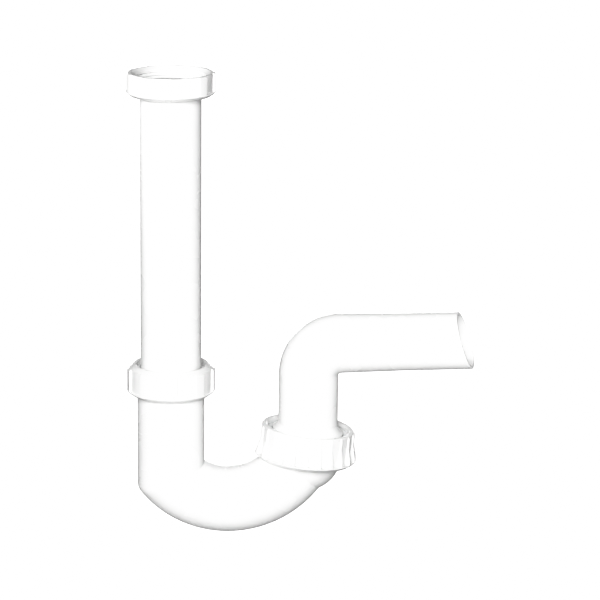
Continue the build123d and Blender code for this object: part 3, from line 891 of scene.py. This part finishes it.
def bowl_outside(s, columns):
    """The bowl and the threaded cup from outside: a ball's lower part, a cone, the thread and the rim.

    The cone's radius is its offset plus its slope times the height. It starts where it meets the ball, at the
    upper root of offset + slope h = sqrt(r^2 - h^2).
    """
    slope = (s.cup_thread_r - s.bowl_bore_r) / (s.cup_thread_end + s.cup_foot_drop)
    offset = s.bowl_bore_r + slope * s.cup_foot_drop
    half = -slope * offset / (1.0 + slope ** 2)
    meet = half + math.sqrt(half ** 2 - (offset ** 2 - s.bowl_r ** 2) / (1.0 + slope ** 2))
    ball = ball_line(s.bowl_r, meet - 1.5)
    cup = rounded_line([
        (*ball[-1], 0.0), (offset + slope * meet, meet, 0.9),
        (s.cup_root_r, (s.cup_root_r - offset) / slope, 0.5), (s.cup_root_r, s.cup_height, 0.45),
        (s.cup_mouth_r - CUT_BEYOND, s.cup_height, 0.0)], closed=False)
    zone = thread_zone(s, s.cup_root_r, s.cup_thread_end, s.cup_height)
    line = filled_line(np.concatenate([ball[:-1], cup]), 2.5, [zone], closed=False)
    return leaning_points(s, *with_thread(s, line, columns, s.cup_root_r, s.cup_thread_end, s.cup_height))


def bowl_inside(s, columns):
    """The hollow of the bowl and the cup: a ball's lower half, a cone and the straight mouth."""
    ball = ball_line(s.bowl_bore_r, 0.0)
    cup = rounded_line([
        (*ball[-1], 0.0), (s.cup_mouth_r, s.cup_height - s.cup_rim_depth, 0.5),
        (s.cup_mouth_r, s.cup_height + CUT_BEYOND, 0.0)], closed=False)
    line = filled_line(np.concatenate([ball[:-1], cup]), 3.0, closed=False)
    return leaning_points(s, *turned(line, columns))


# Outlet elbow

def elbow_line(s):
    """The elbow's wall as radius against run: flange, foot, flare, pipe and spigot, and the bore back."""
    sink_r = s.elbow_r - s.flare_sink
    drop_r = s.foot_r - sink_r
    flare_radius = (drop_r ** 2 + s.foot_flare ** 2) / (2.0 * drop_r)
    meet = math.sqrt(flare_radius ** 2 - (flare_radius - s.flare_sink) ** 2)
    flare_rounds = [0.5, 3.0, 3.0, 3.0, 2.2]
    below = np.linspace(s.foot_flare, meet, len(flare_rounds))
    flare_r = sink_r + flare_radius - np.sqrt(flare_radius ** 2 - below ** 2)
    flare_run = s.run_pivot + s.foot_flare - below
    outline = rounded_line([
        (s.foot_bore_r, 0.0, 0.4), (s.pass_r, 0.0, 0.4), (s.pass_r, s.elbow_flange, 0.3),
        (s.foot_r, s.elbow_flange, 0.4), *zip(flare_r, flare_run, flare_rounds),
        (s.elbow_r, s.run_arm, 20.0), (s.spigot_r, s.run_spigot, 20.0), (s.spigot_r, s.run_end, 0.5),
        (s.spigot_bore_r, s.run_end, 0.3), (s.spigot_bore_r, s.run_spigot, 20.0),
        (s.elbow_bore_r, s.run_arm, 20.0), (s.elbow_bore_r, s.run_pivot + 3.4, 0.5),
        (s.foot_bore_r, s.run_pivot + 2.0, 0.5)])
    bend_zone = (0.0, s.foot_r, s.run_turn - 2.0, s.run_arm + 2.0, 0.9)
    return filled_line(outline, 6.0, [bend_zone])


def elbow_grid(s):
    """The elbow: a wall's outline of radius against run, carried along the foot, leg, bend and arm.

    The run is the distance along the centre line from the flange's underside. The foot stands square to the
    leaning axis and its tilt eases out over the flare. The bend turns the section by the run over the bend's
    radius, and the arm's points are slid along it, more towards the end, for the slanted and skewed cut.
    """
    radius, run, angles = turned(elbow_line(s), ELBOW_COLUMNS)
    lean = s.outlet_lean * (1.0 - eased((run - s.run_pivot) / s.foot_flare))
    bent = np.clip((run - s.run_turn) / s.elbow_radius, 0.0, math.pi / 2)
    direction = lean + bent
    foot = np.minimum(run - s.run_pivot, 0.0)
    rise = np.clip(run - s.run_pivot, 0.0, s.run_turn - s.run_pivot)
    arm = np.maximum(run - s.run_arm, 0.0)
    centre_x = s.pivot[0] + foot * s.outlet_up[0] + s.elbow_radius * (1.0 - np.cos(bent)) + arm
    centre_z = s.pivot[2] + foot * s.outlet_up[2] + rise + s.elbow_radius * np.sin(bent)
    across = radius * np.cos(angles)
    x = centre_x + across * np.cos(direction)
    y = radius * np.sin(angles)
    z = centre_z - across * np.sin(direction)
    slid = arm / (s.run_end - s.run_arm)
    x = x + (math.tan(s.end_skew) * y - math.tan(s.end_slant) * (z - s.arm_z)) * slid
    return np.stack([x, y, z], axis=-1)


# Finishes

def add_node(tree, kind, inputs, **settings):
    """A shader node with its settings; each input is a value or another node's output."""
    node = tree.nodes.new(kind)
    for key, value in settings.items():
        setattr(node, key, value)
    for socket, value in inputs.items():
        if isinstance(value, bpy.types.NodeSocket):
            tree.links.new(value, node.inputs[socket])
        else:
            node.inputs[socket].default_value = value
    return node


def add_noise(tree, vector, scale, detail, roughness):
    """A noise texture on the given coordinates."""
    inputs = {"Vector": vector, "Scale": scale, "Detail": detail, "Roughness": roughness}
    return add_node(tree, "ShaderNodeTexNoise", inputs).outputs["Fac"]


def add_math(tree, how, *values):
    """A sum of numbers and other nodes' outputs."""
    return add_node(tree, "ShaderNodeMath", dict(enumerate(values)), operation=how).outputs[0]


def add_range(tree, value, low, high, to_low=0.0, to_high=1.0):
    """A smooth map of a value from one range to another."""
    inputs = {"Value": value, "From Min": low, "From Max": high, "To Min": to_low, "To Max": to_high}
    return add_node(tree, "ShaderNodeMapRange", inputs, interpolation_type="SMOOTHSTEP").outputs["Result"]


def add_stretch(tree, vector, scale):
    """Coordinates stretched along the axes."""
    return add_node(tree, "ShaderNodeMapping", {"Vector": vector, "Scale": scale}).outputs["Vector"]


def new_group(name, inputs, outputs):
    """An empty shader node group with named sockets, its inputs' values and its end node."""
    group = bpy.data.node_groups.new(name, "ShaderNodeTree")
    for in_out, sockets in (("INPUT", inputs), ("OUTPUT", outputs)):
        for label, kind in sockets.items():
            group.interface.new_socket(name=label, in_out=in_out, socket_type=f"NodeSocket{kind}")
    return group, group.nodes.new("NodeGroupInput").outputs, group.nodes.new("NodeGroupOutput")


def moulded_surface_group():
    """Moulded plastic: the tool's fine grain, waves from shrinkage, faint flow streaks and soft scuffs."""
    inputs = {"Vector": "Vector", "Colour": "Color", "Flow Colour": "Color", "Roughness": "Float",
              "Scuffs": "Float", "Grain Scale": "Float"}
    outputs = {"Colour": "Color", "Roughness": "Float", "Height": "Float"}
    tree, given, end = new_group("Moulded surface", inputs, outputs)
    place = given["Vector"]
    along = add_stretch(tree, place, (1.0, 1.0, 0.22))
    across = add_stretch(tree, place, (1.0, 0.35, 7.0))
    grain = add_noise(tree, place, scale=given["Grain Scale"], detail=3.0, roughness=0.55)
    waves = add_noise(tree, place, scale=42.0, detail=2.0, roughness=0.4)
    flow = add_noise(tree, along, scale=95.0, detail=4.0, roughness=0.6)
    scuff_lines = add_noise(tree, across, scale=260.0, detail=2.0, roughness=0.5)
    scuff_area = add_noise(tree, place, scale=33.0, detail=2.0, roughness=0.5)
    in_area = add_range(tree, scuff_area, 0.52, 0.68)
    lines = add_range(tree, scuff_lines, 0.60, 0.66)
    scuffed = add_math(tree, "MULTIPLY", add_math(tree, "MULTIPLY", lines, in_area), given["Scuffs"])
    streaks = add_range(tree, flow, 0.42, 0.72, to_high=0.55)
    colours = {"Factor": streaks, "A": given["Colour"], "B": given["Flow Colour"]}
    tone = add_node(tree, "ShaderNodeMix", colours, data_type="RGBA")
    spread = add_range(tree, waves, 0.3, 0.7, to_low=-0.03, to_high=0.04)
    rough = add_math(tree, "ADD", given["Roughness"], spread)
    rough = add_math(tree, "ADD", rough, add_math(tree, "MULTIPLY", scuffed, 0.2))
    height = add_math(tree, "MULTIPLY_ADD", waves, 0.6, add_math(tree, "MULTIPLY", grain, 0.45))
    height = add_math(tree, "SUBTRACT", height, add_math(tree, "MULTIPLY", scuffed, 0.35))
    tree.links.new(tone.outputs["Result"], end.inputs["Colour"])
    tree.links.new(rough, end.inputs["Roughness"])
    tree.links.new(height, end.inputs["Height"])
    return tree


def parting_line_group():
    """The fine raised line that a two-part mould leaves in the middle plane of a piece."""
    inputs = {"Vector": "Vector", "Half Width": "Float"}
    tree, given, end = new_group("Parting line", inputs, {"Height": "Float"})
    split = add_node(tree, "ShaderNodeSeparateXYZ", {0: given["Vector"]})
    patches = add_noise(tree, given["Vector"], scale=60.0, detail=2.0, roughness=0.5)
    wander = add_range(tree, patches, 0.2, 0.8, to_low=0.35)
    away = add_math(tree, "ABSOLUTE", split.outputs["Y"])
    near = add_math(tree, "DIVIDE", away, given["Half Width"])
    line = add_range(tree, near, 0.2, 1.0, to_low=1.0, to_high=0.0)
    tree.links.new(add_math(tree, "MULTIPLY", line, wander), end.inputs["Height"])
    return tree


def shared_group(maker, name):
    """The named node group, made once."""
    return bpy.data.node_groups.get(name) or maker()


def plastic(name, colour, flow_colour, roughness, scuffs, grain_scale, grain_depth,
            parting_width=0.0, drawn=0.0):
    """A plastic with a moulded surface, and a parting line or an extruded tube's drawn lines where asked."""
    material = bpy.data.materials.get(name)
    if material:
        return material
    material = bpy.data.materials.new(name)
    material.use_nodes = True
    tree = material.node_tree
    place = tree.nodes.new("ShaderNodeTexCoord").outputs["Object"]
    moulded = {"Vector": place, "Colour": (*colour, 1.0), "Flow Colour": (*flow_colour, 1.0),
               "Roughness": roughness, "Scuffs": scuffs, "Grain Scale": grain_scale}
    group = shared_group(moulded_surface_group, "Moulded surface")
    surface = add_node(tree, "ShaderNodeGroup", moulded, node_tree=group)
    height = surface.outputs["Height"]
    if parting_width:
        group = shared_group(parting_line_group, "Parting line")
        parting = {"Vector": place, "Half Width": parting_width}
        line = add_node(tree, "ShaderNodeGroup", parting, node_tree=group)
        height = add_math(tree, "MULTIPLY_ADD", line.outputs["Height"], PARTING_HEIGHT, height)
    if drawn:
        along = add_stretch(tree, place, (1.0, 1.0, 0.004))
        streaks = add_noise(tree, along, scale=900.0, detail=2.0, roughness=0.5)
        height = add_math(tree, "MULTIPLY_ADD", streaks, drawn, height)
    bump = add_node(tree, "ShaderNodeBump", {"Strength": 1.0, "Distance": grain_depth, "Height": height})
    shader = tree.nodes["Principled BSDF"]
    tree.links.new(bump.outputs["Normal"], shader.inputs["Normal"])
    tree.links.new(surface.outputs["Colour"], shader.inputs["Base Color"])
    tree.links.new(surface.outputs["Roughness"], shader.inputs["Roughness"])
    shader.inputs["IOR"].default_value = 1.5
    shader.inputs["Specular IOR Level"].default_value = 0.5
    return material


def shaded(colour, share_left):
    """A colour with the given share of its light left."""
    return tuple(share_left * channel for channel in colour)


def pipe_plastic(finish):
    """Glossy white of the moulded bend and elbow, with the mould's parting line."""
    return plastic("Pipe plastic", finish.pipe_colour, shaded(finish.pipe_colour, 0.97),
                   finish.pipe_roughness, scuffs=0.5, grain_scale=1400.0, grain_depth=finish.grain_depth,
                   parting_width=finish.parting_width)


def tube_plastic(finish):
    """Glossy white of the straight tube, with the fine lines of extrusion along it."""
    return plastic("Tube plastic", finish.pipe_colour, shaded(finish.pipe_colour, 0.97),
                   finish.pipe_roughness, scuffs=0.7, grain_scale=1200.0,
                   grain_depth=finish.grain_depth, drawn=0.5)


def nut_plastic(finish):
    """Slightly darker and softer white of the nuts, with more handling scuffs."""
    return plastic("Nut plastic", finish.nut_colour, shaded(finish.nut_colour, 0.975), finish.nut_roughness,
                   scuffs=1.0, grain_scale=1900.0, grain_depth=finish.grain_depth)


def ring_plastic(finish):
    """Waxy white of the slip rings."""
    return plastic("Ring plastic", finish.ring_colour, shaded(finish.ring_colour, 0.96), roughness=0.36,
                   scuffs=0.8, grain_scale=1500.0, grain_depth=finish.grain_depth)


def seal_rubber(finish):
    """Matt black rubber with a talc bloom: paler where the moulded surface's flow is strong."""
    bloom = tuple(channel + 0.02 for channel in finish.rubber_colour)
    return plastic("Seal rubber", finish.rubber_colour, bloom, finish.rubber_roughness,
                   scuffs=0.3, grain_scale=2600.0, grain_depth=2.0 * finish.grain_depth)


# Stage

def make_floor(stage):
    """A plain white floor that the camera sees evenly lit, as on a light table."""
    level = cad_box[0][2] - stage.floor_drop
    reach = 8.0
    mesh = bpy.data.meshes.new("floor")
    corners = [(-reach, -reach, level), (reach, -reach, level), (reach, reach, level), (-reach, reach, level)]
    mesh.from_pydata(corners, [], [(0, 1, 2, 3)])
    floor = bpy.data.objects.new("floor", mesh)
    bpy.context.scene.collection.objects.link(floor)
    material = bpy.data.materials.new("White floor")
    material.use_nodes = True
    tree = material.node_tree
    shader = tree.nodes["Principled BSDF"]
    shader.inputs["Base Color"].default_value = FLOOR_GREY
    shader.inputs["Roughness"].default_value = 0.9
    shader.inputs["Emission Color"].default_value = WHITE
    seen = tree.nodes.new("ShaderNodeLightPath").outputs["Is Camera Ray"]
    tree.links.new(add_math(tree, "MULTIPLY", seen, stage.backdrop), shader.inputs["Emission Strength"])
    mesh.materials.append(material)


def make_world(stage):
    """A white room: full white to the camera, a dimmer even glow to the plastic."""
    world = bpy.data.worlds.new("White room")
    world.use_nodes = True
    tree = world.node_tree
    glow = tree.nodes["Background"]
    glow.inputs["Color"].default_value = WHITE
    seen = tree.nodes.new("ShaderNodeLightPath").outputs["Is Camera Ray"]
    level = add_node(tree, "ShaderNodeMix", {"Factor": seen, "A": stage.surround, "B": stage.backdrop})
    tree.links.new(level.outputs["Result"], glow.inputs["Strength"])
    bpy.context.scene.world = world


def hang_light(name, light, place, target, power):
    """Put a light of the given power in its place, facing the target."""
    light.energy = power
    holder = bpy.data.objects.new(name, light)
    holder.location = place
    holder.rotation_euler = (Vector(target) - Vector(place)).to_track_quat("-Z", "Y").to_euler()
    bpy.context.scene.collection.objects.link(holder)


def soft_light(name, place, power, width=1.0, height=1.0):
    """A rectangular soft light that faces the trap."""
    light = bpy.data.lights.new(name, "AREA")
    light.shape = "RECTANGLE"
    light.size = width
    light.size_y = height
    hang_light(name, light, place, TRAP_MIDDLE, power)


def narrow_light(name, place, target, power, spread):
    """A narrow round light that fades from the target outwards, with its spread in degrees."""
    light = bpy.data.lights.new(name, "SPOT")
    light.spot_size = math.radians(spread)
    light.spot_blend = 1.0
    light.shadow_soft_size = 0.06
    hang_light(name, light, place, target, power)


def make_lights(stage):
    """A broad light near the camera, weak ones beside and behind, narrow ones on the inlet and the end."""
    soft_light("key light", (-0.33, -2.01, 0.65), stage.key_power)
    soft_light("front light", (0.70, -2.05, 0.10), stage.front_power)
    soft_light("back light", (0.3, 2.3, -0.2), stage.back_power, width=1.4, height=0.2)
    narrow_light("inlet light", (-0.90, -0.35, 0.33), (-0.02, 0.0, 0.01), stage.inlet_power, spread=15.0)
    narrow_light("end light", (0.95, -0.60, -0.08), (0.22, 0.0, -0.185), stage.end_power, spread=8.0)


def make_camera(stage):
    """The camera at the photograph's place, from its azimuth, elevation and distance, kept level."""
    azimuth, elevation = stage.camera_azimuth, stage.camera_elevation
    level = math.cos(elevation)
    back = Vector((math.sin(azimuth) * level, -math.cos(azimuth) * level, math.sin(elevation)))
    right = Vector((math.cos(azimuth), math.sin(azimuth), 0.0))
    up = back.cross(right)
    camera = bpy.data.cameras.new("camera")
    camera.sensor_width = SENSOR_WIDTH
    camera.lens = stage.camera_lens
    camera.shift_x = stage.camera_shift
    camera.clip_end = 50.0
    holder = bpy.data.objects.new("camera", camera)
    facing = Matrix((right, up, back)).transposed().to_4x4()
    holder.matrix_world = Matrix.Translation(Vector(stage.look_at) + back * stage.camera_distance) @ facing
    bpy.context.scene.collection.objects.link(holder)
    bpy.context.scene.camera = holder


def make_print(stage):
    """The picture's tones: straight to mid grey, a little lifted above, then an eased shoulder to white."""
    view = bpy.context.scene.view_settings
    view.view_transform = "Standard"
    view.use_curve_mapping = True
    tones = view.curve_mapping
    tones.white_level = [stage.white_point] * 3
    tones.extend = "HORIZONTAL"
    curve = tones.curves[COMBINED_CURVE]
    for scene_level, print_level in PRINT_TONES:
        curve.points.new(scene_level / stage.white_point, print_level).handle_type = "AUTO_CLAMPED"
    tones.update()


# Operators

class TrapStep:
    """What the steps share: each one builds from the scene's settings and the sizes that follow from them"""

    def execute(self, context):
        settings = context.scene.sink_trap
        self.build(settings, trap_sizes(settings))
        return {"FINISHED"}


class SINKTRAP_OT_tube(TrapStep, Operator):
    """Make the straight inlet tube with its flange"""
    bl_idname = "sinktrap.tube"
    bl_label = "Inlet Tube"

    def build(self, settings, s):
        add_piece("inlet_tube", tube_grid(s), tube_plastic(settings.finish))


class SINKTRAP_OT_nuts(TrapStep, Operator):
    """Make the three ribbed union nuts with their threads"""
    bl_idname = "sinktrap.nuts"
    bl_label = "Union Nuts"

    def build(self, settings, s):
        nuts = (("inlet_nut", inlet_nut_grid), ("compression_nut", middle_nut_grid),
                ("outlet_nut", outlet_nut_grid))
        for node, nut_grid in nuts:
            add_piece(node, nut_grid(s), nut_plastic(settings.finish))


class SINKTRAP_OT_slip_rings(TrapStep, Operator):
    """Make the two slip rings under the unions' nuts"""
    bl_idname = "sinktrap.slip_rings"
    bl_label = "Slip Rings"

    def build(self, settings, s):
        middle = upright_ring_grid(s.seal_r, s.mouth_thread_r - s.run_gap, s.ring_bottom, s.ring_top, 0.35)
        outlet = leaning_ring_grid(
            s, s.foot_r + s.run_gap, s.clamp_r, s.outlet_ring_bottom, s.outlet_ring_top, 0.4)
        for node, points in (("compression_slip_ring", middle), ("outlet_slip_ring", outlet)):
            add_piece(node, points, ring_plastic(settings.finish))


class SINKTRAP_OT_seals(TrapStep, Operator):
    """Make the inlet washer, the tapered seal and the flat outlet seal"""
    bl_idname = "sinktrap.seals"
    bl_label = "Rubber Seals"

    def build(self, settings, s):
        washer = upright_ring_grid(s.flange_r - s.washer_width, s.flange_r, s.flange_top, s.washer_top, 0.25)
        outlet = leaning_ring_grid(
            s, s.outlet_seal_bore_r, s.pass_r, s.outlet_seal_bottom, s.outlet_seal_top, 0.5)
        seals = {"inlet_washer": washer, "compression_seal": tapered_seal_grid(s), "outlet_seal": outlet}
        for node, points in seals.items():
            add_piece(node, points, seal_rubber(settings.finish))


class SINKTRAP_OT_bend(TrapStep, Operator):
    """Make the U bend: mitred leg and arc, bowl and threaded cup, hollow, clear of the outlet nut's sweep"""
    bl_idname = "sinktrap.bend"
    bl_label = "Trap Bend"

    def build(self, settings, s):
        piece = new_piece("trap_bend_piece", bend_outside(s, BEND_COLUMNS), ring=False)
        joined(piece, new_piece("bowl_outside", bowl_outside(s, BEND_COLUMNS), ring=False), "UNION")
        hollow = new_piece("bend_inside", bend_inside(s, BORE_COLUMNS), ring=False)
        joined(hollow, new_piece("bowl_inside", bowl_inside(s, BORE_COLUMNS), ring=False), "UNION")
        joined(piece, hollow, "DIFFERENCE")
        sweep = leaning_ring_grid(
            s, s.outlet_bore_r - s.run_gap / 2, s.outlet_rib_r + s.run_gap,
            s.outlet_nut_bottom - s.run_gap, s.outlet_nut_top, s.run_gap)
        joined(piece, new_piece("nut_sweep", sweep), "DIFFERENCE")
        dress_piece(piece, "trap_bend", pipe_plastic(settings.finish), sharp_angle=19.0)


class SINKTRAP_OT_elbow(TrapStep, Operator):
    """Make the outlet elbow with its flanged foot and slanted spigot"""
    bl_idname = "sinktrap.elbow"
    bl_label = "Outlet Elbow"

    def build(self, settings, s):
        add_piece("outlet_elbow", elbow_grid(s), pipe_plastic(settings.finish))


class SINKTRAP_OT_stage(TrapStep, Operator):
    """Set the white floor, the soft lights and the camera"""
    bl_idname = "sinktrap.stage"
    bl_label = "Stage"

    def build(self, settings, s):
        for make in (make_floor, make_world, make_lights, make_camera, make_print):
            make(settings.stage)


# Panel and registration

OPERATORS = (SINKTRAP_OT_tube, SINKTRAP_OT_nuts, SINKTRAP_OT_slip_rings, SINKTRAP_OT_seals,
             SINKTRAP_OT_bend, SINKTRAP_OT_elbow, SINKTRAP_OT_stage)


class SINKTRAP_PT_panel(Panel):
    """Lists the sink trap's settings and the steps that build it"""
    bl_idname = "SINKTRAP_PT_panel"
    bl_label = "Sink Trap"
    bl_space_type = "VIEW_3D"
    bl_region_type = "UI"
    bl_category = "Sink Trap"

    def draw(self, context):
        settings = context.scene.sink_trap
        for group_name in SinkTrapSettings.__annotations__:
            group = getattr(settings, group_name)
            box = self.layout.box()
            box.label(text=type(group).__doc__)
            for key in type(group).__annotations__:
                box.prop(group, key, text=key.replace("_", " ").capitalize())
        for step in OPERATORS:
            self.layout.operator(step.bl_idname)


CLASSES = (*SIZE_GROUPS.values(), FinishSettings, StageSettings, SinkTrapSettings,
           *OPERATORS, SINKTRAP_PT_panel)


def register():
    """Register the classes and hang the settings on the scene."""
    for item in CLASSES:
        bpy.utils.register_class(item)
    bpy.types.Scene.sink_trap = PointerProperty(type=SinkTrapSettings)


def unregister():
    """Take the settings off the scene and drop the classes."""
    del bpy.types.Scene.sink_trap
    for item in reversed(CLASSES):
        bpy.utils.unregister_class(item)


def main():
    """Build every piece and the stage."""
    register()
    bpy.ops.sinktrap.tube()
    bpy.ops.sinktrap.nuts()
    bpy.ops.sinktrap.slip_rings()
    bpy.ops.sinktrap.seals()
    bpy.ops.sinktrap.bend()
    bpy.ops.sinktrap.elbow()
    bpy.ops.sinktrap.stage()


if __name__ == "__main__":
    main()
